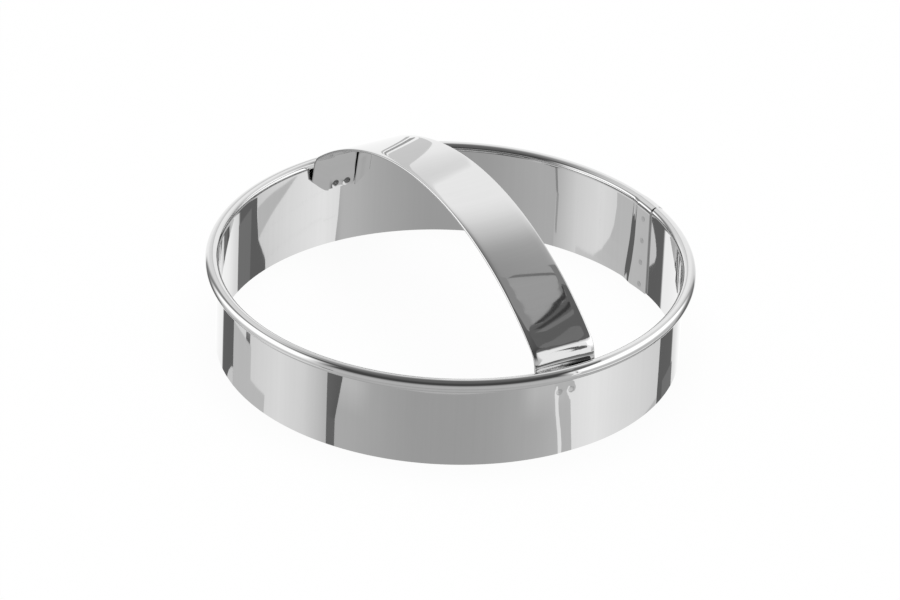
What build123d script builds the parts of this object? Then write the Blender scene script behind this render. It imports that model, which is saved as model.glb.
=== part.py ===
from build123d import *
import math
import os

# Frame: the cutting edge lies on Z = 0, Z is the ring's axis, and the strap runs along X with its front foot at +X
# Driving dimensions, in millimetres and degrees

# Ring: one strip of sheet with a rolled rim and lapped ends
ring_diameter = 160.0     # inside, the size of the round that it cuts
ring_height = 34.5        # cutting edge to the top of the rim
band_sheet = 0.5
rim_diameter = 4.7        # over the outside of the curl
curl_clearance = 0.1      # the curl's free end to the wall
seam_angle = 89.0         # end of the inner layer, counted from the front foot, seen from above
lap_width = 8.0           # how far the two ends overlap
joggle_width = 4.0        # run of the step that brings the inner layer back into the wall
joggle_stations = 5       # sections that shape the step
layer_gap = 0.05          # between two layers of sheet that lie together

# Strap: one strip with hemmed long edges, arched, with a leaning foot at each end
strap_width = 23.4
strap_sheet = 0.5
hem_left = 7.1            # strap's edge at -Y to the raw edge of its fold, on the inner side
hem_right = 5.9           # the same at +Y
hem_gap = 0.1             # slit between the strap and its folded hem
handle_rise = 31.7        # top of the rim to the top of the arch
shoulder_rise = 3.4       # top of the rim to where the arch and a leg would meet in a corner
bend_radius = 8.0         # outer face of the bend that rounds that corner
leg_lean = 10.5           # leg of a foot, from upright
foot_drop = 12.0          # top of the rim to the foot's lower edge
pad_height = 3.7          # lowest part of a foot, pressed against the wall between the hems
corner_width = 6.4        # how far a foot's cut corner reaches in from the strap's edge
corner_height = 5.7       # how far it reaches up from the foot's lower edge
corner_bow = 0.4          # how far the cut bows down below a straight line

# Spot welds
foot_weld_diameter = 2.4
foot_weld_pitch = 4.6
foot_weld_margin = 1.8    # foot's lower edge to the welds' centres
foot_weld_shift = 1.0     # middle of a foot to the middle of its welds, clockwise seen from above
seam_weld_diameter = 2.0
seam_weld_count = 4
seam_weld_low = 2.3       # cutting edge to the lowest weld's centre
seam_weld_high = 3.65     # highest weld's centre to the height where the rim starts to roll
weld_recess = 0.04        # weld's ends below the faces of the sheets
dimple_depth = 0.12       # mark that the electrode leaves inside
dimple_radius = 3.0

# Sizes that follow
ring_radius = ring_diameter / 2
rim_radius = rim_diameter / 2
rim_centre = ring_height - rim_radius
lap_step = band_sheet + layer_gap
hem_thickness = 2 * strap_sheet + hem_gap
pad_radius = ring_radius - layer_gap
foot_end = ring_height - foot_drop
foot_flat = strap_width / 2 - corner_width
foot_reach = pad_radius * math.cos(foot_flat / pad_radius)
pad_top = foot_end + pad_height
strap_top = ring_height + handle_rise
shoulder_height = ring_height + shoulder_rise


def turn_for(run):
    """Angle in degrees that a run along the ring's wall takes up."""
    return math.degrees(run / ring_radius)


def ring_point(radius, angle, height):
    """Point at a distance from the ring's axis, at an angle round it and at a height."""
    turn = math.radians(angle)
    return Vector(radius * math.cos(turn), radius * math.sin(turn), height)


def band_section(angle, inset):
    """Sheet section at an angle: an upright wall that rolls outward into a curl.

    The inset moves the wall inward and makes the curl larger by the same amount, which is how the
    inner layer of the lap goes round the outer one.
    """
    outer = rim_radius + inset
    inner = outer - band_sheet
    wall_reach = rim_radius - band_sheet - curl_clearance
    curl_end = 2 * math.pi - math.acos(wall_reach / outer)

    def curl(radius, share):
        turn = curl_end * share
        across = ring_radius + rim_radius - radius * math.cos(turn)
        return ring_point(across, angle, rim_centre + radius * math.sin(turn))

    foot_inside = ring_point(ring_radius - inset, angle, 0)
    foot_outside = ring_point(ring_radius - inset + band_sheet, angle, 0)
    edges = [
        Line(foot_inside, foot_outside),
        Line(foot_outside, curl(inner, 0)),
        ThreePointArc(curl(inner, 0), curl(inner, 0.25), curl(inner, 0.5)),
        ThreePointArc(curl(inner, 0.5), curl(inner, 0.75), curl(inner, 1)),
        Line(curl(inner, 1), curl(outer, 1)),
        ThreePointArc(curl(outer, 1), curl(outer, 0.75), curl(outer, 0.5)),
        ThreePointArc(curl(outer, 0.5), curl(outer, 0.25), curl(outer, 0)),
        Line(curl(outer, 0), foot_inside),
    ]
    return Face(Wire(edges))


def band():
    """The ring: a full turn of sheet whose start steps inward and lies over its own end."""
    lap_turn = turn_for(lap_width)
    joggle_turn = turn_for(joggle_width)
    step_start = seam_angle + lap_turn
    step_end = step_start + joggle_turn
    inner_layer = revolve(band_section(seam_angle, lap_step), Axis.Z, lap_turn)
    sections = []
    for station in range(joggle_stations):
        share = station / (joggle_stations - 1)
        inset = lap_step * (1 + math.cos(math.pi * share)) / 2
        sections.append(band_section(step_start + joggle_turn * share, inset))
    joggle = loft(sections)
    full_turn = revolve(band_section(step_end, 0), Axis.Z, 360 - joggle_turn - turn_for(layer_gap))
    return inner_layer + joggle + full_turn


def strap_section(place, bulge):
    """Hemmed section of the strap, put in space by place(across, depth), with depth 0 on the outer face.

    Between the hems the web can bulge outward along an arc.
    """
    fold = hem_thickness / 2
    crease = fold - strap_sheet
    flat = strap_width / 2 - fold
    raw_left = hem_left - strap_width / 2
    raw_right = strap_width / 2 - hem_right
    hem_inner = -hem_thickness
    hem_outer = strap_sheet - hem_thickness

    def web(depth):
        ends = [place(raw_left, depth), place(raw_right, depth)]
        if not bulge:
            return Line(*ends)
        return ThreePointArc(ends[0], place((raw_left + raw_right) / 2, depth + bulge), ends[1])

    def hem(side, raw):
        bottom = side * flat
        return [
            Line(place(raw, 0), place(bottom, 0)),
            ThreePointArc(place(bottom, 0), place(side * (flat + fold), -fold), place(bottom, hem_inner)),
            Line(place(bottom, hem_inner), place(raw, hem_inner)),
            Line(place(raw, hem_inner), place(raw, hem_outer)),
            Line(place(raw, hem_outer), place(bottom, hem_outer)),
            ThreePointArc(
                place(bottom, hem_outer), place(side * (flat + crease), -fold), place(bottom, -strap_sheet)
            ),
            Line(place(bottom, -strap_sheet), place(raw, -strap_sheet)),
        ]

    return Face(Wire([web(0)] + hem(1, raw_right) + [web(-strap_sheet)] + hem(-1, raw_left)))


def bent_section(centre, radius, angle):
    """Strap section on a bend about an axis along Y, at an angle from upright."""
    turn = math.radians(angle)

    def place(across, depth):
        reach = radius + depth
        return Vector(centre.X + reach * math.sin(turn), across, centre.Z + reach * math.cos(turn))

    return strap_section(place, bulge=0)


def leg_section(height):
    """Strap section across the front leg at a height, with its web pressed out to the ring's wall."""
    lean = math.radians(leg_lean)
    reach = foot_reach - (height - foot_end) * math.tan(lean)

    def place(across, depth):
        return Vector(reach + depth * math.cos(lean), across, height + depth * math.sin(lean))

    return strap_section(place, bulge=(pad_radius - reach) / math.cos(lean))


def side_view():
    """Centres of the arch and of the front bend, and the arch's radius, from the tangent arcs of the side view."""
    lean = math.radians(leg_lean)
    facing = Vector(math.cos(lean), 0, math.sin(lean))
    upward = Vector(-math.sin(lean), 0, math.cos(lean))
    foot_edge = Vector(foot_reach, 0, foot_end)
    corner_reach = foot_reach - (shoulder_height - foot_end) * math.tan(lean)
    sag = strap_top - shoulder_height
    arch_radius = (corner_reach**2 + sag**2) / (2 * sag)
    arch_centre = Vector(0, 0, strap_top - arch_radius)
    beside = facing * (facing.dot(foot_edge) - bend_radius) - arch_centre
    along = beside.dot(upward)
    reach = arch_radius - bend_radius
    rise = math.sqrt(along**2 - beside.dot(beside) + reach**2) - along
    return arch_centre, arch_centre + beside + upward * rise, arch_radius


def foot_waste():
    """What is cut off the front foot: both lower corners, and whatever reaches below its lower edge."""
    side = strap_width / 2
    below = foot_end - pad_height
    low, high = (foot_flat, foot_end), (side, foot_end + corner_height)
    bowed = ((low[0] + high[0]) / 2, (low[1] + high[1]) / 2 - corner_bow)
    outline = [Line((-low[0], low[1]), low), ThreePointArc(low, bowed, high)]
    outline.append(Polyline(high, (strap_width, high[1]), (strap_width, below), (-strap_width, below)))
    outline.append(Polyline((-strap_width, below), (-strap_width, high[1]), (-high[0], high[1])))
    outline.append(ThreePointArc((-high[0], high[1]), (-bowed[0], bowed[1]), (-low[0], low[1])))
    return extrude(Plane.YZ * make_face(outline), ring_diameter)


def strap():
    """The handle: an arch, and at each end a bend, a leaning leg with a pressed web, and cut corners."""
    arch_centre, bend_centre, arch_radius = side_view()
    arch_turn = math.degrees(math.atan2(bend_centre.X, bend_centre.Z - arch_centre.Z))
    leg_turn = 90 - leg_lean
    across = (0, 1, 0)
    arch = revolve(bent_section(arch_centre, arch_radius, 0), Axis(arch_centre, across), arch_turn)
    bend_start = bent_section(bend_centre, bend_radius, arch_turn)
    bend = revolve(bend_start, Axis(bend_centre, across), leg_turn - arch_turn)
    leg = loft([bent_section(bend_centre, bend_radius, leg_turn), leg_section(pad_top)], ruled=True)
    pad = loft([leg_section(pad_top), leg_section(foot_end - strap_sheet / 2)], ruled=True)
    half = arch + bend + leg + pad - foot_waste()
    return half + mirror(half, about=Plane.YZ)


def weld_plug(angle, height, diameter, start, end):
    """Round plug along a radius of the ring, from one distance from the axis to another."""
    outward = Plane(origin=ring_point(start, angle, height), z_dir=ring_point(1, angle, 0))
    return outward * Cylinder(diameter / 2, end - start, align=(Align.CENTER, Align.CENTER, Align.MIN))


def weld(angle, height, diameter, inner_face):
    """Spot weld from the inner sheet's inner face to the band's outside, dimpled at its inner end."""
    start = inner_face + weld_recess
    plug = weld_plug(angle, height, diameter, start, ring_radius + band_sheet - weld_recess)
    electrode = Pos(ring_point(start + dimple_depth - dimple_radius, angle, height)) * Sphere(dimple_radius)
    return plug - electrode


def weld_hole(angle, height, diameter):
    """Hole through every layer of sheet at a weld."""
    return weld_plug(angle, height, diameter, ring_radius - rim_diameter, ring_radius + rim_diameter)


def foot_weld_spots(foot_angle):
    """Angle and height of each weld of a foot."""
    middle = foot_angle - turn_for(foot_weld_shift)
    offset = turn_for(foot_weld_pitch / 2)
    return [(middle + side * offset, foot_end + foot_weld_margin) for side in (-1, 1)]


def seam_weld_spots():
    """Angle and height of each weld of the seam, in a row up the middle of the lap."""
    angle = seam_angle + turn_for(lap_width / 2)
    pitch = (rim_centre - seam_weld_high - seam_weld_low) / (seam_weld_count - 1)
    return [(angle, seam_weld_low + pitch * number) for number in range(seam_weld_count)]


front_spots = foot_weld_spots(0)
rear_spots = foot_weld_spots(180)
seam_spots = seam_weld_spots()
foot_holes = [weld_hole(*spot, foot_weld_diameter) for spot in front_spots + rear_spots]
seam_holes = [weld_hole(*spot, seam_weld_diameter) for spot in seam_spots]
foot_inner_face = pad_radius - strap_sheet
lap_inner_face = ring_radius - lap_step

nodes = {
    "cutter_band": [band() - foot_holes - seam_holes],
    "handle_strap": [strap() - foot_holes],
    "front_foot_welds": [weld(*spot, foot_weld_diameter, foot_inner_face) for spot in front_spots],
    "rear_foot_welds": [weld(*spot, foot_weld_diameter, foot_inner_face) for spot in rear_spots],
    "seam_welds": [weld(*spot, seam_weld_diameter, lap_inner_face) for spot in seam_spots],
}

os.makedirs("parts", exist_ok=True)
for name, pieces in nodes.items():
    solids = [solid for piece in pieces for solid in piece.solids()]
    export_step(Compound(solids), f"parts/{name}.step")
    volume = sum(solid.volume for solid in solids)
    print(f"{name}: {len(solids)} solids, {volume:.1f} cubic mm")
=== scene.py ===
"""Looks of a round cutter ring: a rolled steel band, a hemmed strap handle and the welds that join them."""

from math import atan2, cos, pi, radians, sin, sqrt, tan
from typing import NamedTuple

import bpy
import numpy as np
from bpy.props import FloatProperty, FloatVectorProperty, IntProperty, PointerProperty
from mathutils import Matrix, Vector


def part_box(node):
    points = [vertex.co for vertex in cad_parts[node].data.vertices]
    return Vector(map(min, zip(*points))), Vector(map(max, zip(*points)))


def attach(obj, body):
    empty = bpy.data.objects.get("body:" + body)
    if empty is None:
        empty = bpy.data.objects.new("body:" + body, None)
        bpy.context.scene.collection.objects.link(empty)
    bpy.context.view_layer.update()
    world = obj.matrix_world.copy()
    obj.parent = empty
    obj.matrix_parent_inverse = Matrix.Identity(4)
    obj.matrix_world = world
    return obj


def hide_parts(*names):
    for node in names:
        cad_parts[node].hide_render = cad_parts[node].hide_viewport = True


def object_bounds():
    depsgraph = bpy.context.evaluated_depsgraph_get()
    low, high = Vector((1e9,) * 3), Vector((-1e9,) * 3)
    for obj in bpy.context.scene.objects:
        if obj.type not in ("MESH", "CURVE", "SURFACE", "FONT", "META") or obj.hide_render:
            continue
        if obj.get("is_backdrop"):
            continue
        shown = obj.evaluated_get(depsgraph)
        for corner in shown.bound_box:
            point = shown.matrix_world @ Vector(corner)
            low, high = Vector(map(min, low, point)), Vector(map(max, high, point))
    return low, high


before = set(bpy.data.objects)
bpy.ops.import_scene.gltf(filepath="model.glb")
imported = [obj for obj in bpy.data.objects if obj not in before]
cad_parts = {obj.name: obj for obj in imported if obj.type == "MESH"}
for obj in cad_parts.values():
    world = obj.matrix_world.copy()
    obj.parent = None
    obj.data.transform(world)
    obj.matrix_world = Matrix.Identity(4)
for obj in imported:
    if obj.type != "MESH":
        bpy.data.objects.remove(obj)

bl_info = {
    "name": "Round Cutter Ring",
    "version": (1, 0, 0),
    "blender": (4, 5, 0),
    "location": "View3D > Sidebar > Cutter",
    "description": "Builds a rolled steel cutter ring with a strap handle, and its studio stage",
    "category": "Add Mesh",
}

MM = 0.001
CAD_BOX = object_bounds()
BAND_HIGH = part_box("cutter_band")[1]
STRAP_LOW, STRAP_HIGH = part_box("handle_strap")
FOOT_WELD_LOW, FOOT_WELD_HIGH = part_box("front_foot_welds")
SEAM_WELD_LOW, SEAM_WELD_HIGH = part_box("seam_welds")


# Sizes and colours

def length(name, default, text):
    """A size in metres for a property group."""
    return FloatProperty(name=name, default=default, min=0.0, unit="LENGTH", precision=5, description=text)


def angle(name, default, text):
    """An angle for a property group."""
    return FloatProperty(name=name, default=default, subtype="ANGLE", unit="ROTATION", description=text)


def factor(name, default, text):
    """A share from 0 to 1 for a property group."""
    return FloatProperty(name=name, default=default, min=0.0, max=1.0, subtype="FACTOR", description=text)


def colour(name, grey, text):
    """A neutral colour for a property group."""
    return FloatVectorProperty(
        name=name, default=(grey, grey, grey), size=3, min=0.0, max=1.0, subtype="COLOR", description=text,
    )


class BandSizes(bpy.types.PropertyGroup):
    """Sizes of the rolled ring."""

    outer_radius: length("Outer radius", BAND_HIGH.x, "Ring's axis to the outside of the rolled rim")
    sheet: length("Sheet", 0.5 * MM, "Thickness of the sheet")
    rim_diameter: length("Rim diameter", 4.7 * MM, "Over the outside of the curl")
    curl_clearance: length("Curl clearance", 0.1 * MM, "Curl's free end to the wall")
    layer_gap: length("Layer gap", 0.05 * MM, "Between two layers that lie together")
    seam_angle: angle("Seam angle", radians(89.0), "End of the inner layer, from the front foot")
    lap_width: length("Lap width", 8.0 * MM, "How far the two ends of the strip overlap")
    lap_squeeze: factor("Lap squeeze", 0.6, "Share of the lap's step pressed flat in the rim")
    lap_spring: length("Lap spring", 0.45 * MM, "How far the lap has sprung in at the cutting edge")
    joggle_start: length("Joggle start", 7.3 * MM, "Seam to the start of the step beside the lap")
    joggle_lean: length("Joggle lean", 1.3 * MM, "How much farther off it starts at the cutting edge")
    joggle_slope: angle("Joggle slope", radians(7.7), "Mean slope of the step")
    ripple: length("Ripple", 0.01 * MM, "Height of the faint waves left by rolling")
    weld_pull: length("Weld pull", 0.16 * MM, "Depth of the hollow below the front foot's welds")


class StrapSizes(bpy.types.PropertyGroup):
    """Sizes of the strap handle."""

    width: length("Width", STRAP_HIGH.y - STRAP_LOW.y, "Over the folded edges")
    top: length("Top", STRAP_HIGH.z, "Height of the arch")
    reach: length("Reach", STRAP_HIGH.x, "Ring's axis to the outer face of a foot")
    foot_end: length("Foot end", STRAP_LOW.z, "Height of a foot's lower edge")
    sheet: length("Sheet", 0.5 * MM, "Thickness of the strip")
    hem_left: length("Left hem", 7.1 * MM, "Strap's edge at -Y to the raw edge of its fold")
    hem_right: length("Right hem", 5.9 * MM, "Strap's edge at +Y to the raw edge of its fold")
    hem_gap: length("Hem gap", 0.1 * MM, "Slit between the strap and its folded hem")
    shoulder_rise: length("Shoulder rise", 3.4 * MM, "Top of the rim to the corner where arch and leg meet")
    bend_radius: length("Bend radius", 8.0 * MM, "Outer face of the bend that rounds that corner")
    leg_lean: angle("Leg lean", radians(10.5), "Leg of a foot, from upright")
    pad_height: length("Pad height", 3.7 * MM, "Lowest part of a foot, which lies at the wall")
    pad_blend: length("Pad blend", 6.0 * MM, "Height above the pad where a foot's web leaves the leg")
    corner_width: length("Corner width", 6.4 * MM, "How far a foot's cut corner reaches in")
    corner_height: length("Corner height", 5.7 * MM, "How far a foot's cut corner reaches up")
    corner_bow: length("Corner bow", 0.4 * MM, "How far the cut bows below a straight line")
    edge_roll: length("Edge roll", 0.05 * MM, "How far the strap's faces roll off at its edges")
    roll_width: length("Roll width", 2.2 * MM, "Width of the rolled part along each edge")
    hem_spring: length("Hem spring", 0.5 * MM, "How far the right hem has sprung open along the feet")


class WeldSizes(bpy.types.PropertyGroup):
    """Sizes of the spot welds."""

    foot_diameter: length("Foot weld", FOOT_WELD_HIGH.z - FOOT_WELD_LOW.z, "Diameter of a foot's welds")
    foot_height: length("Foot weld height", (FOOT_WELD_HIGH.z + FOOT_WELD_LOW.z) / 2, "Height of the welds")
    foot_pitch: length("Foot weld pitch", 4.6 * MM, "Distance between a foot's two welds")
    foot_shift: length("Foot weld shift", 1.0 * MM, "Middle of a foot to its welds, clockwise from above")
    seam_diameter: length("Seam weld", 2.0 * MM, "Diameter of the seam's welds")
    seam_count: IntProperty(name="Seam welds", default=4, min=2, description="Number of welds up the seam")
    dimple: length("Dimple", 0.15 * MM, "Depth of an electrode's mark inside")
    print_depth: length("Print", 0.07 * MM, "Depth of an electrode's mark outside")
    stand: length("Stand", 0.02 * MM, "Scaly skin of a weld above the sheet")


class SteelFinish(bpy.types.PropertyGroup):
    """Finish of the steel."""

    steel: colour("Steel", 0.74, "Colour of the polished steel")
    weld: colour("Weld", 0.20, "Colour of the dull weld spots")
    polish: factor("Polish", 0.022, "Roughness of the polished steel")
    scale: factor("Scale", 0.34, "Roughness of the weld spots")


class StageSizes(bpy.types.PropertyGroup):
    """Camera and light of the studio."""

    distance: length("Camera distance", 2.258, "Camera to the centre of the ring")
    azimuth: angle("Camera azimuth", radians(59.147), "Camera's place round the ring")
    elevation: angle("Camera elevation", radians(30.5), "Camera's height above the horizon")
    roll: angle("Camera roll", radians(-2.353), "Turn of the camera about its own axis")
    lens: FloatProperty(name="Lens", default=260.0, unit="CAMERA", description="Focal length of the camera")
    floor_size: length("Floor", 6.0, "Side of the floor")
    tent_radius: length("Tent", 0.7, "Radius of the light tent")
    fill: factor("Fill", 0.6, "Brightness of the surroundings that fill the shadow")
    lamp_power: FloatProperty(name="Lamp", default=12, min=0, unit="POWER", description="Power of the lamp")
    lamp_size: length("Lamp size", 1.2, "Side of the soft lamp")
    lamp_height: length("Lamp height", 1.5, "Soft lamp above the floor")


# Meshes from grids of points

def closed_sheet(front, back):
    """Faces of a closed thin solid whose two sides are grids of points, matched one to one.

    Each grid cell becomes a quad on either side, and a strip of quads joins the two borders.
    """
    rows, columns = front.shape[:2]
    grid = np.arange(rows * columns).reshape(rows, columns)
    side = grid_quads(grid)
    border = np.concatenate([grid[0, :-1], grid[:-1, -1], grid[-1, :0:-1], grid[:0:-1, 0]])
    after = np.roll(border, -1)
    other = rows * columns
    edge = np.stack([border, after, after + other, border + other], axis=-1)
    points = np.concatenate([front.reshape(-1, 3), back.reshape(-1, 3)])
    return points, np.concatenate([side, side[:, ::-1] + other, edge])


def grid_quads(grid):
    """One quad for each cell of a grid of point numbers."""
    corners = [grid[:-1, :-1], grid[1:, :-1], grid[1:, 1:], grid[:-1, 1:]]
    return np.stack(corners, axis=-1).reshape(-1, 4)


def outward(points, faces):
    """The faces turned so that the solid's volume, summed over signed tetrahedra, is positive."""
    corners = np.moveaxis(points[faces], 1, 0)
    fans = zip(corners[1:-1], corners[2:])
    volume = sum(np.einsum("ij,ij->", corners[0], np.cross(second, third)) for second, third in fans)
    return faces if volume > 0 else faces[:, ::-1]


SHARP_ANGLE = radians(38)


def add_piece(name, points, faces, flat, heat, material, node):
    """Puts a mesh in the scene as a piece that stands for a CAD node.

    The flat coordinates, in metres on the unrolled sheet, become a UV map and heat, 1 at a weld, an
    attribute: the finish follows the sheet and darkens at the welds.
    """
    faces = outward(points, faces)
    mesh = bpy.data.meshes.new(name)
    mesh.from_pydata(points, [], faces.tolist())
    mesh.polygons.foreach_set("use_smooth", np.ones(len(faces), bool))
    mesh.set_sharp_from_angle(angle=SHARP_ANGLE)
    corner_points = np.empty(len(mesh.loops), np.int32)
    mesh.loops.foreach_get("vertex_index", corner_points)
    mesh.uv_layers.new(name="Flat").data.foreach_set("uv", flat[corner_points].astype(np.float32).ravel())
    mesh.attributes.new("scorch", "FLOAT", "POINT").data.foreach_set("value", heat.astype(np.float32))
    mesh.materials.append(material)
    mesh.validate()
    piece = bpy.data.objects.new(name, mesh)
    bpy.context.scene.collection.objects.link(piece)
    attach(piece, "root")
    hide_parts(node)
    return piece


def add_sheet(name, sides, material, node):
    """Adds a piece made of sheet from its two sides, its flat coordinates and its heat."""
    front, back, flat, heat = sides
    points, faces = closed_sheet(front, back)
    flat = np.tile(flat.reshape(-1, 2), (2, 1))
    heat = np.tile(np.broadcast_to(heat, front.shape[:2]).ravel(), 2)
    return add_piece(name, points, faces, flat, heat, material, node)


def ease(start, end, value):
    """Rises from 0 at start to 1 at end along a cosine."""
    share = np.clip((value - start) / (end - start), 0.0, 1.0)
    return (1 - np.cos(pi * share)) / 2


def even_ramp(start, end, value):
    """Rises from 0 at start to 1 at end at an even slope with rounded ends: a line less two sine waves."""
    share = np.clip((value - start) / (end - start), 0.0, 1.0)
    return share - np.sin(2 * pi * share) / (3 * pi) - np.sin(4 * pi * share) / (12 * pi)


def stations(start, end, step, fine_step, *fine_spans):
    """Places from start to end at a step, closer together in the fine spans."""
    runs = [np.arange(start, end, step), [end]]
    runs += [np.arange(max(low, start), min(high, end), fine_step) for low, high in fine_spans]
    places = np.unique(np.concatenate(runs))
    keep = np.diff(places, prepend=-1e9) > fine_step / 3
    keep[-1] = True
    return places[keep]


def round_ring(radius, turn, height):
    """Points at a distance from the ring's axis, an angle round it and a height."""
    return np.stack(np.broadcast_arrays(radius * np.cos(turn), radius * np.sin(turn), height), axis=-1)


# Welds and their marks

def foot_spots(welds, band_radius, foot_angle):
    """Angle and height of the welds of one foot."""
    offsets = [side * welds.foot_pitch / 2 - welds.foot_shift for side in (-1, 1)]
    return [(foot_angle + offset / band_radius, welds.foot_height) for offset in offsets]


def seam_spots(welds, band, band_radius):
    """Angle and height of the welds up the middle of the lap."""
    turn = band.seam_angle + band.lap_width / 2 / band_radius
    low = SEAM_WELD_LOW.z + welds.seam_diameter / 2
    high = SEAM_WELD_HIGH.z - welds.seam_diameter / 2
    return [(turn, height) for height in np.linspace(low, high, welds.seam_count)]


def spot_distance(turn, height, radius, spots):
    """Distance on the ring's wall from each point to the nearest weld of a list."""
    nearest = np.full(np.broadcast(turn, height).shape, np.inf)
    for spot_turn, spot_height in spots:
        nearest = np.minimum(nearest, np.hypot(arc_from(turn, spot_turn, radius), height - spot_height))
    return nearest


def press_mark(distance, radius):
    """Shape of an electrode's mark: a flat-bottomed hollow, 1 deep, that fades past the weld's radius."""
    return 1 / (1 + (distance / radius) ** 6)


FULL_HEAT, FAINT_HEAT = 1.0, 0.3


def weld_heat(distance):
    """How much a weld's heat has dulled the steel: 1 on the weld, fading over a millimetre or so."""
    return np.exp(-((distance / MM) ** 2))


# Band

def ring_values(scene):
    """The wall's inner radius, the step at the lap, and the height of the rim's centre."""
    band = scene.cutter_band
    radius = band.outer_radius - band.rim_diameter
    step = band.sheet + band.layer_gap
    return radius, step, BAND_HIGH.z - step - band.rim_diameter / 2


def arc_from(turn, start, radius):
    """Signed distance round the ring from an angle, the short way."""
    return radius * (np.mod(turn - start + pi, 2 * pi) - pi)


# Hollow below the front welds, measured round the ring from their middle
HOLLOW_PLACE = -2.2 * MM
HOLLOW_STEP = 2.5 * MM
HOLLOW_LEAN = 2.2 * MM
HOLLOW_END = 20 * MM


def wall_shift(scene, turn, height):
    """How far the wall stands out from a true cylinder: rolling waves, less a hollow below the front welds.

    The waves are three sines round the ring whose phase leans with height. The hollow has a short leaning
    step on one side and a long slope on the other, and fades out up to the rim.
    """
    band, welds = scene.cutter_band, scene.cutter_welds
    radius, _, rim_centre = ring_values(scene)
    waves = np.sin(9 * turn + 40 * height) + 0.6 * np.sin(23 * turn - 55 * height + 1.3)
    waves = waves + 0.35 * np.sin(41 * turn + 90 * height + 0.4)
    along = arc_from(turn, -welds.foot_shift / radius, radius)
    leaning = along - HOLLOW_LEAN * ease(welds.foot_height, 0.0, height)
    hollow = ease(HOLLOW_PLACE - HOLLOW_STEP, HOLLOW_PLACE, leaning)
    hollow = hollow * ease(HOLLOW_END, HOLLOW_PLACE, along)
    hollow = hollow * ease(rim_centre, welds.foot_height, height)
    return band.ripple * waves / 2 - band.weld_pull * hollow


def joggle_run(scene, low):
    """Run of the step beside the lap, for a place from 0 at the rim to 1 at the cutting edge."""
    band = scene.cutter_band
    return (ring_values(scene)[1] + band.lap_spring * low) / tan(band.joggle_slope)


# Where the step starts to lean, from 0 at the rim to 1 at the cutting edge
JOGGLE_LEAN_START = 0.45


def lap_inset(scene, turn, height):
    """How far the start of the strip is set in: one sheet over the lap, then an even step out beside it.

    Towards the cutting edge the lap springs in, so the step gets longer, and it leans away from the seam.
    """
    band = scene.cutter_band
    radius, step, rim_centre = ring_values(scene)
    low = 1 - height / rim_centre
    along = radius * (turn - band.seam_angle)
    lean = np.maximum(low - JOGGLE_LEAN_START, 0.0) / (1 - JOGGLE_LEAN_START)
    start = band.joggle_start + band.joggle_lean * lean
    spring = band.lap_spring * low * np.clip(along / start, 0.0, 1.0)
    return (step + spring) * (1 - even_ramp(start, start + joggle_run(scene, low), along))


# Spacing of the band's points and the parts with the fine one
TURN_STEP, FINE_TURN_STEP = radians(0.46), radians(0.23)
HEIGHT_STEP, FINE_HEIGHT_STEP = 2.0 * MM, 0.5 * MM
BESIDE_WELDS = 6 * MM
WELD_OFFSETS = (-1.2 * MM, 1.3 * MM)
UNDER_RIM = 0.8 * MM
CURL_SHARES = np.concatenate([np.linspace(0.0, 0.84, 28)[1:], [0.92, 1.0]])


def band_grid(scene):
    """Angles along the strip and heights up its wall, closer at the lap, the welds and under the rim."""
    band, welds = scene.cutter_band, scene.cutter_welds
    radius, _, rim_centre = ring_values(scene)
    lap, gap, beside = (size / radius for size in (band.lap_width, band.layer_gap, BESIDE_WELDS))
    start, end = band.seam_angle, band.seam_angle + 2 * pi + lap - gap
    stepped = (band.joggle_start + band.joggle_lean + joggle_run(scene, 1.0)) / radius
    turn_spans = [(start, start + stepped), (end - lap - beside, end)]
    turn_spans += [(foot - beside, foot + beside) for foot in (pi, 2 * pi)]
    turn = stations(start, end, TURN_STEP, FINE_TURN_STEP, *turn_spans)
    weld_span = [welds.foot_height + offset for offset in WELD_OFFSETS]
    rim_span = (rim_centre - UNDER_RIM, rim_centre)
    return turn, stations(0.0, rim_centre, HEIGHT_STEP, FINE_HEIGHT_STEP, weld_span, rim_span)


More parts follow.
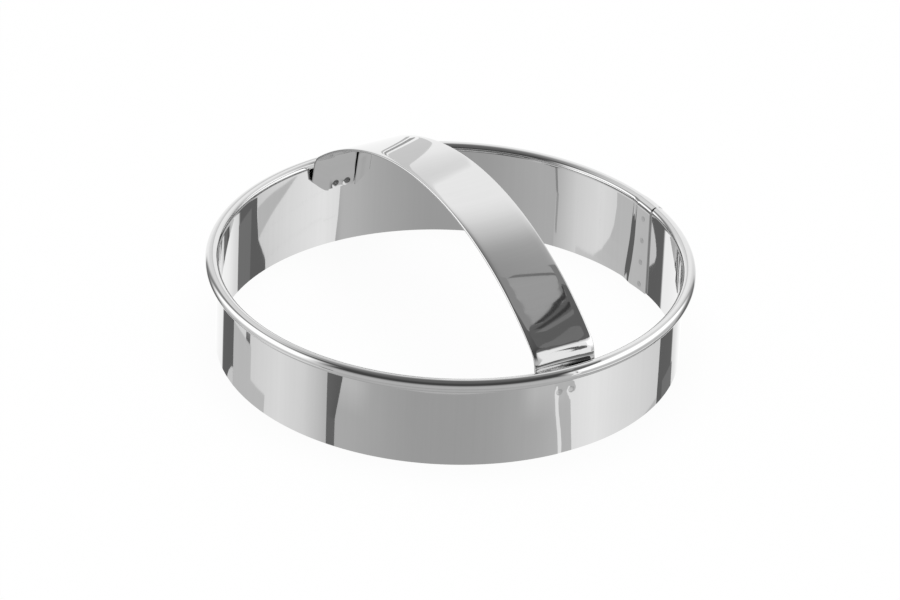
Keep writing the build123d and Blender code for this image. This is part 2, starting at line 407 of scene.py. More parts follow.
def band_sides(scene):
    """The two sides of the rolled strip, as grids of points along it and across it.

    Along the strip the angle runs from the seam once round and on over the lap. Across it the wall rises
    from the cutting edge and goes on as an arc round the rim's centre. The start of the strip is set in, so
    that it lies inside its own end; in the rim the lap is squeezed thinner.
    """
    band, welds = scene.cutter_band, scene.cutter_welds
    radius, _, rim_centre = ring_values(scene)
    rim_radius = band.rim_diameter / 2
    turn, height = band_grid(scene)
    turn = turn[:, None]
    feet = foot_spots(welds, radius, 0.0) + foot_spots(welds, radius, pi)
    foot_distance = spot_distance(turn, height, radius, feet)
    seam_distance = spot_distance(turn, height, radius, seam_spots(welds, band, radius))
    wall_out = wall_shift(scene, turn, height) - lap_inset(scene, turn, height)
    rim_shift = wall_shift(scene, turn, rim_centre)
    rim_inset = lap_inset(scene, turn, rim_centre)
    curl_inside = rim_radius - band.sheet - band.curl_clearance
    curl = CURL_SHARES * (2 * pi - np.arccos(curl_inside / (rim_radius + rim_inset)))
    sides = []
    for depth in (0.0, band.sheet):
        wall = radius + wall_out + depth
        if depth:
            wall = wall - welds.print_depth * press_mark(foot_distance, welds.foot_diameter / 2)
        reach = rim_radius + rim_inset * (1 - band.lap_squeeze * ease(0.0, pi / 2, curl)) - depth
        curl_out = radius + rim_radius - reach * np.cos(curl) + rim_shift
        curl_up = rim_centre + reach * np.sin(curl)
        out = np.concatenate([wall, curl_out], axis=1)
        up = np.concatenate([np.broadcast_to(height, wall.shape), curl_up], axis=1)
        sides.append(round_ring(out, turn, up))
    across = np.concatenate([height, rim_centre + CURL_SHARES * 2 * pi * rim_radius])
    flat = np.stack(np.broadcast_arrays(radius * turn, across), axis=-1)
    wall_heat = FAINT_HEAT * weld_heat(np.minimum(foot_distance, seam_distance))
    heat = np.concatenate([wall_heat, np.zeros(curl.shape)], axis=1)
    return sides[0], sides[1], flat, heat


# Strap

def raw_edges(strap):
    """Places across the strap where its left and right hems end."""
    return strap.hem_left - strap.width / 2, strap.width / 2 - strap.hem_right


WEB_STEP, FINE_WEB_STEP = 1.0 * MM, 0.22 * MM
FOLD_STEPS, HEM_STEPS = 12, 5


def strap_section(strap):
    """The hemmed section: distances across and depths below the outer face, for both sides of the strip.

    It runs from one raw edge along the hem, round the fold as a half circle, over the strap and back in the
    same way, so that the two sides have matching points.
    """
    fold = strap.sheet + strap.hem_gap / 2
    flat = strap.width / 2 - fold
    raw_left, raw_right = raw_edges(strap)
    turn = np.linspace(0.0, pi, FOLD_STEPS + 1)
    web = stations(-flat, flat, WEB_STEP, FINE_WEB_STEP, (raw_left, raw_right))[1:-1]
    left_hem = np.linspace(-flat, raw_left, HEM_STEPS + 1)[:0:-1]
    right_hem = np.linspace(flat, raw_right, HEM_STEPS + 1)[1:]
    across, depth = [], []
    for reach in (fold, fold - strap.sheet):
        round_across = flat + reach * np.sin(turn)
        round_depth = fold - reach * np.cos(turn)
        hem_depth = np.full(HEM_STEPS, round_depth[-1])
        across.append(np.concatenate([left_hem, -round_across[::-1], web, round_across, right_hem]))
        web_depth = np.full(len(web), round_depth[0])
        depth.append(np.concatenate([hem_depth, round_depth[::-1], web_depth, round_depth, hem_depth]))
    return across, depth


def strap_side_view(scene):
    """Side view of the strap: the arch's centre and radius, the front bend's centre, the arch's end angle.

    The arch passes through the top and the shoulder corner, the bend touches the arch and the leg, and the
    leg's lower edge meets the wall.
    """
    strap = scene.cutter_strap
    rim_top = ring_values(scene)[2] + scene.cutter_band.rim_diameter / 2
    lean = strap.leg_lean
    facing = np.array([cos(lean), sin(lean)])
    upward = np.array([-sin(lean), cos(lean)])
    foot_edge = np.array([leg_reach(strap, strap.foot_end), strap.foot_end])
    shoulder = rim_top + strap.shoulder_rise
    corner = leg_reach(strap, shoulder)
    sag = strap.top - shoulder
    arch_radius = (corner**2 + sag**2) / (2 * sag)
    arch_centre = np.array([0.0, strap.top - arch_radius])
    beside = facing * (facing @ foot_edge - strap.bend_radius) - arch_centre
    along = beside @ upward
    rise = sqrt(along**2 - beside @ beside + (arch_radius - strap.bend_radius) ** 2) - along
    bend_centre = arch_centre + beside + upward * rise
    arch_turn = atan2(bend_centre[0], bend_centre[1] - arch_centre[1])
    return arch_centre, arch_radius, bend_centre, arch_turn


def strap_line(scene, distance):
    """Places and normals of the strap's outer face at distances from its top, and the whole distance.

    In the side view the line is an arc, a tighter arc and a straight leg.
    """
    strap = scene.cutter_strap
    arch_centre, arch_radius, bend_centre, arch_turn = strap_side_view(scene)
    leg_turn = pi / 2 - strap.leg_lean
    arch_run = arch_radius * arch_turn
    bend_run = strap.bend_radius * (leg_turn - arch_turn)
    leg_top = bend_centre + strap.bend_radius * np.array([sin(leg_turn), cos(leg_turn)])
    leg_run = (leg_top[1] - strap.foot_end) / cos(strap.leg_lean)
    turn = np.minimum(distance / arch_radius, arch_turn)
    turn = turn + np.clip((distance - arch_run) / strap.bend_radius, 0.0, leg_turn - arch_turn)
    on_leg = np.maximum(distance - arch_run - bend_run, 0.0)
    bent = turn > arch_turn
    centre = np.where(bent[..., None], bend_centre, arch_centre)
    reach = np.where(bent, strap.bend_radius, arch_radius)
    normal = np.stack([np.sin(turn), np.cos(turn)], axis=-1)
    place = centre + reach[..., None] * normal
    place = place + on_leg[..., None] * np.array([sin(strap.leg_lean), -cos(strap.leg_lean)])
    return place, normal, arch_run + bend_run + leg_run


def web_press(scene, across, height):
    """How far a foot's web is pressed out from the leg: an arc across it, fullest at the foot's end."""
    strap = scene.cutter_strap
    raw_left, raw_right = raw_edges(strap)
    share = (2 * across - raw_left - raw_right) / (raw_right - raw_left)
    arc = np.maximum(1 - share**2, 0.0)
    top = strap.foot_end + strap.pad_height + strap.pad_blend
    return arc * ease(top, strap.foot_end, height) * (strap.reach - leg_reach(strap, height))


def leg_reach(strap, height):
    """Distance of the leg's outer face from the ring's axis at a height."""
    foot_flat = strap.width / 2 - strap.corner_width
    foot_reach = strap.reach * cos(foot_flat / strap.reach)
    return foot_reach - (height - strap.foot_end) * tan(strap.leg_lean)


# Spacing of the strap's points, its fine ends, and where the right hem opens
STRAP_STEP, FINE_STRAP_STEP = 1.1 * MM, 0.26 * MM
FINE_STRAP_PART = 17 * MM
HEM_OPENS = (0.72, 0.84)
HEM_HINGE = 1 * MM


def strap_sides(scene):
    """The two sides of the hemmed strap, as grids of points along it and across it.

    The section is carried along the side view. Between the hems a foot's web is pressed out to the curve of
    the wall, more and more towards its end, and each line ends where the foot's bowed corner cuts it.
    """
    strap, welds = scene.cutter_strap, scene.cutter_welds
    across_pair, depth_pair = strap_section(strap)
    total = strap_line(scene, np.zeros(1))[2]
    fine_part = (1 - FINE_STRAP_PART / total, 1.0)
    share = stations(0.0, 1.0, STRAP_STEP / total, FINE_STRAP_STEP / total, fine_part)
    share = np.concatenate([-share[:0:-1], share])[:, None]
    feet = foot_spots(welds, strap.reach, 0.0)
    sides = []
    for across, depth in zip(across_pair, depth_pair):
        from_edge = strap.width / 2 - np.abs(across)
        past = np.clip(1 - from_edge / strap.corner_width, 0.0, 1.0)
        cut = strap.corner_height * past - 4 * strap.corner_bow * past * (1 - past)
        place, normal, _ = strap_line(scene, np.abs(share) * (total - cut / cos(strap.leg_lean)))
        marked = spot_distance(np.sign(share) * across / strap.reach, place[..., 1], strap.reach, feet)
        web = depth < strap.sheet * 1.01
        inner = web & (depth > strap.sheet / 2)
        sunk = depth - welds.dimple * press_mark(marked, welds.foot_diameter / 2) * inner
        sprung = ease(strap.width / 2 - HEM_HINGE, raw_edges(strap)[1], across) * (across > 0) * ~web
        sunk = sunk + strap.hem_spring * sprung * ease(*HEM_OPENS, np.abs(share))
        sunk = sunk + strap.edge_roll * np.maximum(1 - from_edge / strap.roll_width, 0.0) ** 2
        out = place[..., 0] - sunk * normal[..., 0] + web_press(scene, across, place[..., 1]) * web
        up = place[..., 1] - sunk * normal[..., 1]
        sides.append(np.stack(np.broadcast_arrays(np.sign(share) * out, across, up), axis=-1))
    steps_across, steps_deep = np.diff(across_pair[0], prepend=0), np.diff(depth_pair[0], prepend=0)
    developed = np.cumsum(np.hypot(steps_across, steps_deep))
    flat = np.stack(np.broadcast_arrays(share * total, developed), axis=-1)
    return sides[0], sides[1], flat, weld_heat(marked) * web


# Weld spots

SPOT_STEPS = 24
SPOT_RINGS = 8


def foot_face(scene, turn, height):
    """Distance of a foot's inner face from the ring's axis."""
    strap = scene.cutter_strap
    across = ring_values(scene)[0] * np.sin(turn)
    web = leg_reach(strap, height) + web_press(scene, across, height)
    return np.hypot(web - strap.sheet / cos(strap.leg_lean), across)


def lap_face(scene, turn, height):
    """Distance of the lap's inner face from the ring's axis."""
    return ring_values(scene)[0] - lap_inset(scene, turn, height) + wall_shift(scene, turn, height)


def weld_sides(scene, spots, diameter, inner_face, dimple, print_depth):
    """The inner and outer ends of each weld, as grids of points round a spot and out from its centre.

    Each end is a disc bent to the face that it lies in, sunk by the mark of the electrode and standing a
    scale's thickness above it.
    """
    band, welds = scene.cutter_band, scene.cutter_welds
    radius = ring_values(scene)[0]
    round_spot = np.linspace(0.0, 2 * pi, SPOT_STEPS + 1)[:-1, None]
    out = np.linspace(0.0, diameter / 2, SPOT_RINGS + 1)
    mark = press_mark(out, diameter / 2)
    outer = radius + band.sheet - print_depth * mark + welds.stand
    for spot_turn, spot_height in spots:
        turn = spot_turn + out * np.cos(round_spot) / radius
        height = spot_height + out * np.sin(round_spot)
        inner = inner_face(scene, turn, height) + dimple * mark - 2 * welds.stand
        shift = wall_shift(scene, turn, height)
        yield round_ring(inner, turn, height), round_ring(outer + shift, turn, height)


def weld_faces(rounds, rings):
    """Triangles of a weld: rings of points from end to end, and a fan about the middle of either end.

    The two middles come after the points of the rings.
    """
    grid = np.arange(rounds * rings).reshape(rounds, rings)
    closed = np.concatenate([grid, grid[:1]])
    quads = grid_quads(closed)
    first = np.full(rounds, grid.size)
    inner_fan = np.stack([first, closed[1:, 0], closed[:-1, 0]], axis=-1)
    outer_fan = np.stack([first + 1, closed[:-1, -1], closed[1:, -1]], axis=-1)
    return np.concatenate([quads[:, :3], quads[:, [0, 2, 3]], inner_fan, outer_fan])


def add_weld_row(name, pairs, inner_heat, material, node):
    """Adds a row of welds, each of two round ends joined by a wall."""
    points, faces, heat = [], [], []
    for inner, outer in pairs:
        rings = np.concatenate([inner[:, 1:], outer[:, :0:-1]], axis=1)
        faces.append(weld_faces(*rings.shape[:2]) + sum(len(run) for run in points))
        points.append(np.concatenate([rings.reshape(-1, 3), inner[:1, 0], outer[:1, 0]]))
        ends = np.repeat([inner_heat, FAINT_HEAT], rings.shape[1] // 2)
        heat += [np.tile(ends, rings.shape[0]), [inner_heat, FAINT_HEAT]]
    points, faces = np.concatenate(points), np.concatenate(faces)
    flat = np.stack([points[:, 0] + points[:, 1], points[:, 2]], axis=-1)
    return add_piece(name, points, faces, flat, np.concatenate(heat), material, node)


# Finish

def add_node(tree, kind, inputs=None, **settings):
    """Adds a shader node, with its settings, and sets or links its inputs."""
    made = tree.nodes.new(kind)
    for name, value in settings.items():
        setattr(made, name, value)
    for name, value in (inputs or {}).items():
        if isinstance(value, bpy.types.NodeSocket):
            tree.links.new(value, made.inputs[name])
        else:
            made.inputs[name].default_value = value
    return made


def new_material(name):
    """An empty node material, with its tree and its output node."""
    material = bpy.data.materials.new(name)
    material.use_nodes = True
    tree = material.node_tree
    tree.nodes.clear()
    return material, tree, tree.nodes.new("ShaderNodeOutputMaterial")


def maths(tree, operation, first, second):
    """A value worked out from two others."""
    return add_node(tree, "ShaderNodeMath", {0: first, 1: second}, operation=operation).outputs[0]


def noise(tree, vector, scale, detail):
    """Noise from 0 to 1 on a vector stretched by a scale along each axis."""
    placed = add_node(tree, "ShaderNodeMapping", {"Vector": vector, "Scale": scale}).outputs[0]
    inputs = {"Vector": placed, "Scale": 1.0, "Detail": detail}
    return add_node(tree, "ShaderNodeTexNoise", inputs).outputs["Fac"]


def blend(tree, share, first, second):
    """A colour between two others."""
    inputs = {"Factor": share, 6: first, 7: second}
    return add_node(tree, "ShaderNodeMix", inputs, data_type="RGBA").outputs[2]


def remap(tree, value, low, high, start, end):
    """A value taken from one range to another."""
    inputs = {"Value": value, "From Min": low, "From Max": high, "To Min": start, "To Max": end}
    return add_node(tree, "ShaderNodeMapRange", inputs).outputs[0]


def grey(colour_value, share=1.0):
    """A colour property as a socket's value, darkened to a share."""
    return (*(channel * share for channel in colour_value), 1.0)


def add_metal(tree, output, base, rough, height, strength, depth):
    """Ends a material as bare metal with a fine relief."""
    relief = {"Height": height, "Strength": strength, "Distance": depth}
    normal = add_node(tree, "ShaderNodeBump", relief).outputs[0]
    inputs = {"Base Color": base, "Roughness": rough, "Metallic": 1.0, "Normal": normal}
    shader = add_node(tree, "ShaderNodeBsdfPrincipled", inputs)
    tree.links.new(shader.outputs[0], output.inputs["Surface"])


def polished_steel(name, finish):
    """Polished rolled steel: fine lines along the strip, roll marks across it, cloudy wear, dull spots."""
    material, tree, output = new_material(name)
    flat = add_node(tree, "ShaderNodeUVMap", uv_map="Flat").outputs["UV"]
    place = add_node(tree, "ShaderNodeTexCoord").outputs["Object"]
    heat = add_node(tree, "ShaderNodeAttribute", attribute_name="scorch").outputs["Fac"]
    hair_lines = noise(tree, flat, (40.0, 7000.0, 1.0), 3.0)
    roll_marks = noise(tree, flat, (700.0, 14.0, 1.0), 2.0)
    clouds = noise(tree, place, (55.0, 55.0, 55.0), 5.0)
    worn = remap(tree, maths(tree, "ADD", clouds, roll_marks), 0.7, 1.3, 0.0, 1.0)
    steel = blend(tree, worn, grey(finish.steel, 0.985), grey(finish.steel, 1.015))
    steel = blend(tree, maths(tree, "MULTIPLY", heat, 0.35), steel, grey(finish.weld))
    rough = remap(tree, hair_lines, 0.3, 0.7, finish.polish * 0.75, finish.polish * 1.25)
    rough = maths(tree, "ADD", rough, remap(tree, clouds, 0.45, 0.8, 0.0, 0.012))
    rough = maths(tree, "ADD", rough, maths(tree, "MULTIPLY", heat, 0.10))
    height = maths(tree, "ADD", hair_lines, maths(tree, "MULTIPLY", roll_marks, 0.3))
    add_metal(tree, output, steel, rough, height, 0.05, 0.0015 * MM)
    return material


def weld_scale(name, finish):
    """Blotched, slightly pitted steel of a weld spot: burnt where it was hot, else nearly as the sheet."""
    material, tree, output = new_material(name)
    place = add_node(tree, "ShaderNodeTexCoord").outputs["Object"]
    blotches = noise(tree, place, (1600.0, 1600.0, 1600.0), 4.0)
    heat = add_node(tree, "ShaderNodeAttribute", attribute_name="scorch").outputs["Fac"]
    spotted = remap(tree, blotches, 0.35, 0.65, 0.0, 1.0)
    burnt = blend(tree, spotted, grey(finish.weld, 0.4), grey(finish.weld, 1.6))
    burnt = blend(tree, heat, grey(finish.steel), burnt)
    dull = remap(tree, blotches, 0.3, 0.7, finish.scale * 0.7, finish.scale * 1.3)
    rough = maths(tree, "ADD", maths(tree, "MULTIPLY", heat, dull), finish.polish)
    add_metal(tree, output, burnt, rough, blotches, 0.4, 0.02 * MM)
    return material


# Studio

class Card(NamedTuple):
    """A lit card or dark flag in the light tent: its corners and its brightness.

    A corner is an angle from the camera's side, growing to the right in the picture, and a height angle,
    both in degrees. The corners run from the lower left one to the right and round. The brightness is a
    number, or a pair for the left and right sides.
    """

    corners: tuple
    glow: float | tuple


def panel(turns, rises, glow):
    """A card with upright and level sides, from its two angles and its two height angles."""
    (left, right), (low, high) = turns, rises
    return Card(((left, low), (right, low), (right, high), (left, high)), glow)


def stack(rows, glows):
    """Cards between rows, where each row is a height angle, a left angle and a right angle."""
    for first, second, glow in zip(rows, rows[1:], glows):
        (low, low_left, low_right), (high, high_left, high_right) = sorted((first, second))
        yield Card(((low_left, low), (low_right, low), (high_right, high), (high_left, high)), glow)


# Each card hangs in front of those before it
CARDS = (
    # Back: a grey panel with a dark joint and a thin line along its lower edge
    Card(((184.75, -3), (192, 43), (192, 50), (184.85, 50)), 0.72),
    Card(((184.9, -4.2), (185.2, -4.2), (190.9, 33.5), (190.6, 33.5)), 0.4),
    Card(((184.75, -8), (184.95, -8), (190.2, 26), (190, 26)), 0.55),
    # Glow of the left light box on the table
    panel((-125, -112), (-50, -23), 0.84),
    panel((-108, -85), (-50, -23), (0.8, 0.91)),
    panel((-85, -70), (-50, -23), (0.91, 0.82)),
    panel((-70, -56.5), (-50, -23), (0.82, 0.58)),
    panel((-125.2, -107), (-34, -27), (0.6, 0.62)),
    # Its rounded end and its rounded shade
    *stack((
        (-30.5, -125.6, -125.2), (-30, -131.4, -125.2), (-29.7, -132.8, -125.2),
        (-29.4, -132.4, -125.2), (-29.1, -130.4, -125.2), (-28.75, -126.5, -125.2),
    ), 5 * [0.7]),
    *stack((
        (-28.2, -110, -95.4), (-29.5, -110, -96.2), (-30.3, -110, -95),
        (-30.9, -110, -92.6), (-31.65, -110, -87.1), (-32.1, -110, -81.5),
    ), 3 * [0.62] + [(0.62, 0.64), (0.62, 0.66)]),
    panel((-110, -70), (-34, -32.1), (0.62, 0.72)),
    # Dark flag beside it and a faint line below the flag
    *stack((
        (-29, -56.2, -51.6), (-27.2, -56.4, -51.8), (-25.3, -56.6, -48), (-22.5, -57, -44),
    ), [0.16, (0.16, 0.13), (0.16, 0.13)]),
    Card(((-57.9, -30.4), (-56.7, -30.4), (-54.4, -29), (-55.8, -29)), 0.3),
    Card(((-58.3, -32), (-57.3, -32), (-57, -30.4), (-58.4, -30.4)), 0.4),
    # Glow of the right light box on the table
    Card(((69, -35), (73.6, -36), (73.6, -31.5), (64.2, -31.5)), (0.95, 1.02)),
    Card(((64.2, -31.5), (73.6, -31.5), (73.6, -22), (56, -22)), (0.95, 1.02)),
    *stack((
        (-36, 73, 110), (-31.4, 73, 114.6), (-30.3, 73, 121), (-29.2, 73, 122.6), (-22, 73, 125),
    ), [(1.02, 0.8), (1.02, 0.79), (1.02, 0.78), (1.02, 0.77)]),
    Card(((121, -30.3), (121.2, -30.3), (122.2, -29), (90, -29)), 0.6),
    panel((128.5, 142), (-35, -28.7), 0.2),
    # Edge of the right light box and a small flag in it
    *stack(((-8, 53, 57), (24, 55, 58.3), (40, 59, 63)), 2 * [1.05]),
    Card(((55.6, 13), (56.3, 13), (58.6, 29), (57.9, 29)), 0.12),
    # Overhead panel in its frame, and the dark and the bars under it
    Card(((80, 59), (121, 65.9), (126, 72), (80, 72)), 0.31),
    Card(((60, 42), (106, 56), (106, 63.3), (78, 58.4)), 0.14),
    Card(((106, 56), (122, 58), (122, 64.2), (106, 63.4)), 0.25),
    Card(((97.5, 61.4), (106, 62.9), (106, 63.6), (96.4, 61.9)), 0.25),
    Card(((84, 59.25), (91.8, 61.1), (91.6, 62.4), (84, 59.65)), (0.4, 0.41)),
    Card(((91.4, 61), (102.1, 62.9), (102.1, 64.7), (91.4, 62.35)), (0.41, 0.42)),
    Card(((101.9, 62.9), (112.3, 64), (113.2, 65.85), (101.9, 64.7)), 0.42),
    Card(((112.2, 64), (112.6, 64), (121, 66), (113.1, 65.85)), (0.42, 0.4)),
    Card(((111.9, 63.7), (113.2, 63.6), (121, 65.6), (119.7, 65.9)), 0.2),
    Card(((84, 59.3), (93.6, 61.2), (93.6, 61.6), (84, 59.65)), 0.05),
    Card(((93.5, 61.2), (104, 62.5), (104, 62.85), (93.5, 61.6)), 0.05),
    Card(((81.5, 58.2), (93, 60.4), (93, 60.75), (81.5, 58.55)), (0.06, 0.04)),
    Card(((80, 57.3), (88.5, 58.8), (88.5, 59.25), (80, 57.85)), 0.22),
    Card(((68, 47.5), (80, 54.9), (80.5, 56.2), (72, 53.5)), 0.2),
)
CARD_SPACING = 0.002


def light_box(turn, rise, sides, heights, soft):
    """Share of a soft light box in a direction: 1 inside it, easing to 0 over its edges."""
    from_left = ease(sides[0] - soft, sides[0] + soft, turn)
    from_right = ease(sides[1] + soft, sides[1] - soft, turn)
    from_below = ease(heights[0] - 2 * soft, heights[0] + 2 * soft, rise)
    from_above = ease(heights[1] + 1.4 * soft, heights[1] - 1.4 * soft, rise)
    return from_left * from_right * from_below * from_above


def tent_glow(turn, rise):
    """Brightness of the light tent behind its cards, by angle from the camera's side and height angle.

    Over a dim room come a pale table in front, pale sides, a bright back wall between dark gaps, two soft
    light boxes and a ceiling, each with an eased edge.
    """
    side = np.abs(turn)
    behind = 180 - side
    glow = 0.07 + 0.07 * ease(-5, -25, rise)
    glow = glow + 0.2 * ease(80, 130, side) * ease(-25, 5, rise)
    table = 0.425 + 0.10 * ease(8, 55, side) + 0.06 * ease(40, 60, turn)
    glow = glow + ease(78, 60, side) * ease(-15, -25, rise) * (table - glow)
    beside = ease(32, 44, side) * ease(128, 112, side)
    beside = beside * ease(36, -4, rise) * (rise > -27)
    glow = glow + beside * (0.62 - glow)
    glow = glow + ease(-36, -46, rise) * (0.53 - glow)
    limit = 38.8 + 6 * ease(-12, 25, rise) + 45 * ease(28, 60, rise)
    soft = 1 + 7 * ease(-15, 20, rise)
    shaded = ease(180.3, 181.3, np.mod(turn, 360)) * ease(10, 32, rise)
    wall = 1.06 - 0.20 * ease(22, 39, behind) * (turn > 0) - 0.2 * shaded
    lit = ease(limit + soft, limit - soft, behind) * ease(-58, -46, rise)
    glow = glow + lit * (wall - glow)
    left_top = 42 - 0.025 * np.maximum(-88 - turn, 0) ** 2
    right_top = 50 - 0.012 * (turn - 92) ** 2
    left_box = light_box(turn, rise, (-125, -58), (-3, left_top), 9)
    right_box = light_box(turn, rise, (55, 129), (9, right_top), 6)
    glow = glow + (left_box + right_box) * (1.5 - glow)
    ceiling = 0.15 + 0.14 * ease(50, 130, side) * ease(88, 66, rise)
    return glow + ease(46, 72, rise) * (ceiling - glow)


FRONT_BOARD_RADIUS = 0.16


def front_board():
    """Angles, heights and brightness of a low board before the ring, pale at its foot."""
    turn, height = np.meshgrid(np.arange(-40.0, 40.5, 2.0), np.linspace(-0.02, 0.09, 45), indexing="ij")
    pale = 0.50 + 0.05 * ease(10, 40, np.abs(turn))
    return turn, height, 0.05 + pale * ease(0.088, 0.03, height)


def tent_points(stage, radius, turn, rise):
    """Points of the light tent at angles from the camera's side and height angles, in degrees."""
    turn = np.radians(turn) + stage.azimuth - pi / 2
    rise = np.radians(rise)
    return round_ring(radius * np.cos(rise), turn, radius * np.sin(rise))


def tent_grids(stage):
    """Grids of points and their brightness: the tent, the board before the ring, a patch for each card."""
    turn, rise = np.meshgrid(np.arange(-180.0, 180.5), np.arange(-90.0, 90.5), indexing="ij")
    yield tent_points(stage, stage.tent_radius, turn, rise), tent_glow(turn, rise)
    board_turn, height, glow = front_board()
    yield round_ring(FRONT_BOARD_RADIUS, np.radians(board_turn) + stage.azimuth - pi / 2, height), glow
    right, up = np.meshgrid(np.linspace(0.0, 1.0, 25), np.linspace(0.0, 1.0, 25), indexing="ij")
    for number, card in enumerate(CARDS, 1):
        corners = np.array(card.corners)[:, :, None, None]
        low = corners[0] + (corners[1] - corners[0]) * right
        high = corners[3] + (corners[2] - corners[3]) * right
        card_turn, card_rise = low + (high - low) * up
        radius = stage.tent_radius * (1 - CARD_SPACING * number)
        left_glow, right_glow = np.broadcast_to(card.glow, 2)
        glow = left_glow + (right_glow - left_glow) * right
        yield tent_points(stage, radius, card_turn, card_rise), glow


def add_stage_mesh(name, points, faces, material):
    """Adds a mesh that belongs to the stage."""
    mesh = bpy.data.meshes.new(name)
    mesh.from_pydata(points, [], faces.tolist())
    mesh.materials.append(material)
    prop = bpy.data.objects.new(name, mesh)
    bpy.context.scene.collection.objects.link(prop)
    prop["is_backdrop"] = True
    return prop


def add_light_tent(stage):
    """The studio that the steel reflects: a tent with cards, seen by reflections alone."""
    points, faces, glow = [], [], []
    count = 0
    for grid_points, grid_glow in tent_grids(stage):
        numbers = np.arange(grid_glow.size).reshape(grid_glow.shape)
        faces.append(grid_quads(numbers) + count)
        points.append(grid_points.reshape(-1, 3))
        glow.append(np.ravel(grid_glow))
        count += grid_glow.size
    material, tree, output = new_material("tent_light")
    level = add_node(tree, "ShaderNodeAttribute", attribute_name="glow").outputs["Fac"]
    light = add_node(tree, "ShaderNodeEmission", {"Strength": level})
    tree.links.new(light.outputs[0], output.inputs["Surface"])
    material.cycles.emission_sampling = "NONE"
    tent = add_stage_mesh("light_tent", np.concatenate(points), np.concatenate(faces), material)
    values = np.concatenate(glow).astype(np.float32)
    tent.data.attributes.new("glow", "FLOAT", "POINT").data.foreach_set("value", values)
    for ray in ("camera", "diffuse", "transmission", "volume_scatter", "shadow"):
        setattr(tent, f"visible_{ray}", False)


def seen_directly(tree):
    """1 for rays from the camera, in mirrors and through glass, and 0 for light that falls on things."""
    path = add_node(tree, "ShaderNodeLightPath").outputs
    reflected = maths(tree, "MAXIMUM", path["Is Glossy Ray"], path["Is Transmission Ray"])
    return maths(tree, "MAXIMUM", path["Is Camera Ray"], reflected)


FLOOR_DROP = 0.1 * MM
SHADOW_SHARE = 0.06


def add_floor(stage):
    """White floor with a faint shadow just under the cutting edge. The steel does not mirror it."""
    material, tree, output = new_material("white_floor")
    matt = add_node(tree, "ShaderNodeBsdfDiffuse", {"Color": (0.95, 0.95, 0.95, 1.0)})
    white = add_node(tree, "ShaderNodeEmission", {"Strength": 1.0})
    share = maths(tree, "MULTIPLY", seen_directly(tree), 1 - SHADOW_SHARE)
    mixed = add_node(tree, "ShaderNodeMixShader", {0: share, 1: matt.outputs[0], 2: white.outputs[0]})
    tree.links.new(mixed.outputs[0], output.inputs["Surface"])
    half = stage.floor_size / 2
    corners = np.array([[-half, -half], [half, -half], [half, half], [-half, half]])
    points = np.column_stack([corners, np.full(4, -FLOOR_DROP)])
    floor = add_stage_mesh("floor", points, np.array([[0, 1, 2, 3]]), material)
    floor.visible_glossy = False


def light_world(scene, stage):
    """White surroundings to look at, and an even fill of light."""
    world = bpy.data.worlds.new("studio")
    world.use_nodes = True
    tree = world.node_tree
    fill = (stage.fill, stage.fill, stage.fill, 1.0)
    background = tree.nodes["Background"]
    tree.links.new(blend(tree, seen_directly(tree), fill, (1.0, 1.0, 1.0, 1.0)), background.inputs["Color"])
    scene.world = world


def add_lamp(scene, stage):
    """One soft lamp overhead, for the shadow on the floor."""
    data = bpy.data.lights.new("soft_lamp", "AREA")
    data.energy = stage.lamp_power
    data.size = stage.lamp_size
    lamp = bpy.data.objects.new("soft_lamp", data)
    lamp.location.z = stage.lamp_height
    lamp.visible_glossy = False
    scene.collection.objects.link(lamp)


IMAGE_SIZE = (900, 600)
RING_CENTRE_PIXEL = (447.37, 343.17)
SENSOR_WIDTH = 36.0


def aim_camera(scene, stage):
    """Camera at the photograph's angle, turned so that the ring's centre falls on its pixel."""
    data = bpy.data.cameras.new("camera")
    data.lens = stage.lens
    data.sensor_width = SENSOR_WIDTH
    camera = bpy.data.objects.new("camera", data)
    back = Vector((
        sin(stage.azimuth) * cos(stage.elevation),
        -cos(stage.azimuth) * cos(stage.elevation),
        sin(stage.elevation),
    ))
    pixels = stage.lens / SENSOR_WIDTH * IMAGE_SIZE[0]
    right = (RING_CENTRE_PIXEL[0] - IMAGE_SIZE[0] / 2) / pixels
    down = (RING_CENTRE_PIXEL[1] - IMAGE_SIZE[1] / 2) / pixels
    centre_ray = Vector((right, -down, -1.0))
    turn = centre_ray.rotation_difference(Vector((0.0, 0.0, -1.0))).to_matrix()
    level = (-back).to_track_quat("-Z", "Y").to_matrix()
    rolled = level @ Matrix.Rotation(-stage.roll, 3, "Z") @ turn
    camera.matrix_world = Matrix.Translation(back * stage.distance) @ rolled.to_4x4()
    scene.collection.objects.link(camera)
    scene.camera = camera


# Operators

class CUTTER_OT_band(bpy.types.Operator):
    """Add the rolled ring with its lapped seam"""

    bl_idname = "cutter.band"
    bl_label = "Cutter Band"

    def execute(self, context):
        steel = polished_steel("band_steel", context.scene.cutter_finish)
        add_sheet("rolled_band", band_sides(context.scene), steel, "cutter_band")
        return {"FINISHED"}


class CUTTER_OT_strap(bpy.types.Operator):
    """Add the hemmed strap handle"""

    bl_idname = "cutter.strap"
    bl_label = "Strap Handle"

    def execute(self, context):
        steel = polished_steel("strap_steel", context.scene.cutter_finish)
        add_sheet("hemmed_strap", strap_sides(context.scene), steel, "handle_strap")
        return {"FINISHED"}


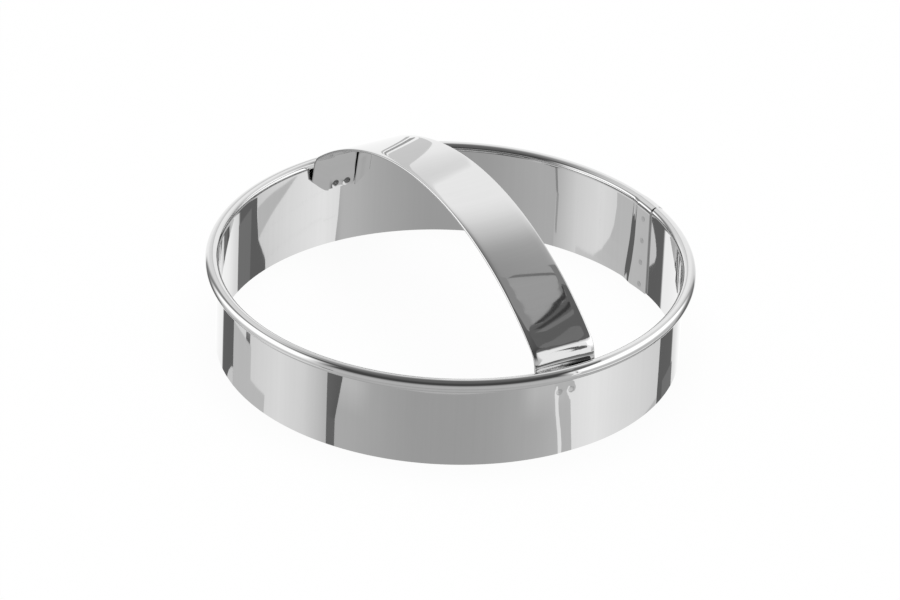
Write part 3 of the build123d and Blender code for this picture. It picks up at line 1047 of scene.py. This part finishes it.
class CUTTER_OT_welds(bpy.types.Operator):
    """Add the spot welds of both feet and of the seam"""

    bl_idname = "cutter.welds"
    bl_label = "Spot Welds"

    def execute(self, context):
        scene = context.scene
        welds = scene.cutter_welds
        burnt = weld_scale("weld_steel", scene.cutter_finish)
        radius = ring_values(scene)[0]
        for foot, turn in (("front_foot", 0.0), ("rear_foot", pi)):
            spots = foot_spots(welds, radius, turn)
            ends = weld_sides(scene, spots, welds.foot_diameter, foot_face, welds.dimple, welds.print_depth)
            add_weld_row(f"{foot}_weld_spots", ends, FULL_HEAT, burnt, f"{foot}_welds")
        spots = seam_spots(welds, scene.cutter_band, radius)
        ends = weld_sides(scene, spots, welds.seam_diameter, lap_face, 0.0, 0.0)
        add_weld_row("seam_weld_spots", ends, FAINT_HEAT, burnt, "seam_welds")
        return {"FINISHED"}


class CUTTER_OT_stage(bpy.types.Operator):
    """Add the floor, the light and the camera"""

    bl_idname = "cutter.stage"
    bl_label = "Studio Stage"

    def execute(self, context):
        scene = context.scene
        stage = scene.cutter_stage
        add_light_tent(stage)
        add_floor(stage)
        light_world(scene, stage)
        add_lamp(scene, stage)
        aim_camera(scene, stage)
        scene.view_settings.view_transform = "Standard"
        return {"FINISHED"}


class CUTTER_PT_panel(bpy.types.Panel):
    """Buttons of the cutter's pieces"""

    bl_idname = "CUTTER_PT_panel"
    bl_label = "Cutter"
    bl_space_type = "VIEW_3D"
    bl_region_type = "UI"
    bl_category = "Cutter"

    def draw(self, context):
        for operator in OPERATORS:
            self.layout.operator(operator.bl_idname)


OPERATORS = (CUTTER_OT_band, CUTTER_OT_strap, CUTTER_OT_welds, CUTTER_OT_stage)
GROUPS = {
    "cutter_band": BandSizes,
    "cutter_strap": StrapSizes,
    "cutter_welds": WeldSizes,
    "cutter_finish": SteelFinish,
    "cutter_stage": StageSizes,
}
CLASSES = (*GROUPS.values(), *OPERATORS, CUTTER_PT_panel)


def register():
    for cls in CLASSES:
        bpy.utils.register_class(cls)
    for name, group in GROUPS.items():
        setattr(bpy.types.Scene, name, PointerProperty(type=group))


def unregister():
    for name in GROUPS:
        delattr(bpy.types.Scene, name)
    for cls in reversed(CLASSES):
        bpy.utils.unregister_class(cls)


def main():
    register()
    bpy.ops.cutter.band()
    bpy.ops.cutter.strap()
    bpy.ops.cutter.welds()
    bpy.ops.cutter.stage()
    boxes = {"cad": CAD_BOX, "visual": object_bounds()}
    {name: [list(corner) for corner in box] for name, box in boxes.items()}


if __name__ == "__main__":
    main()
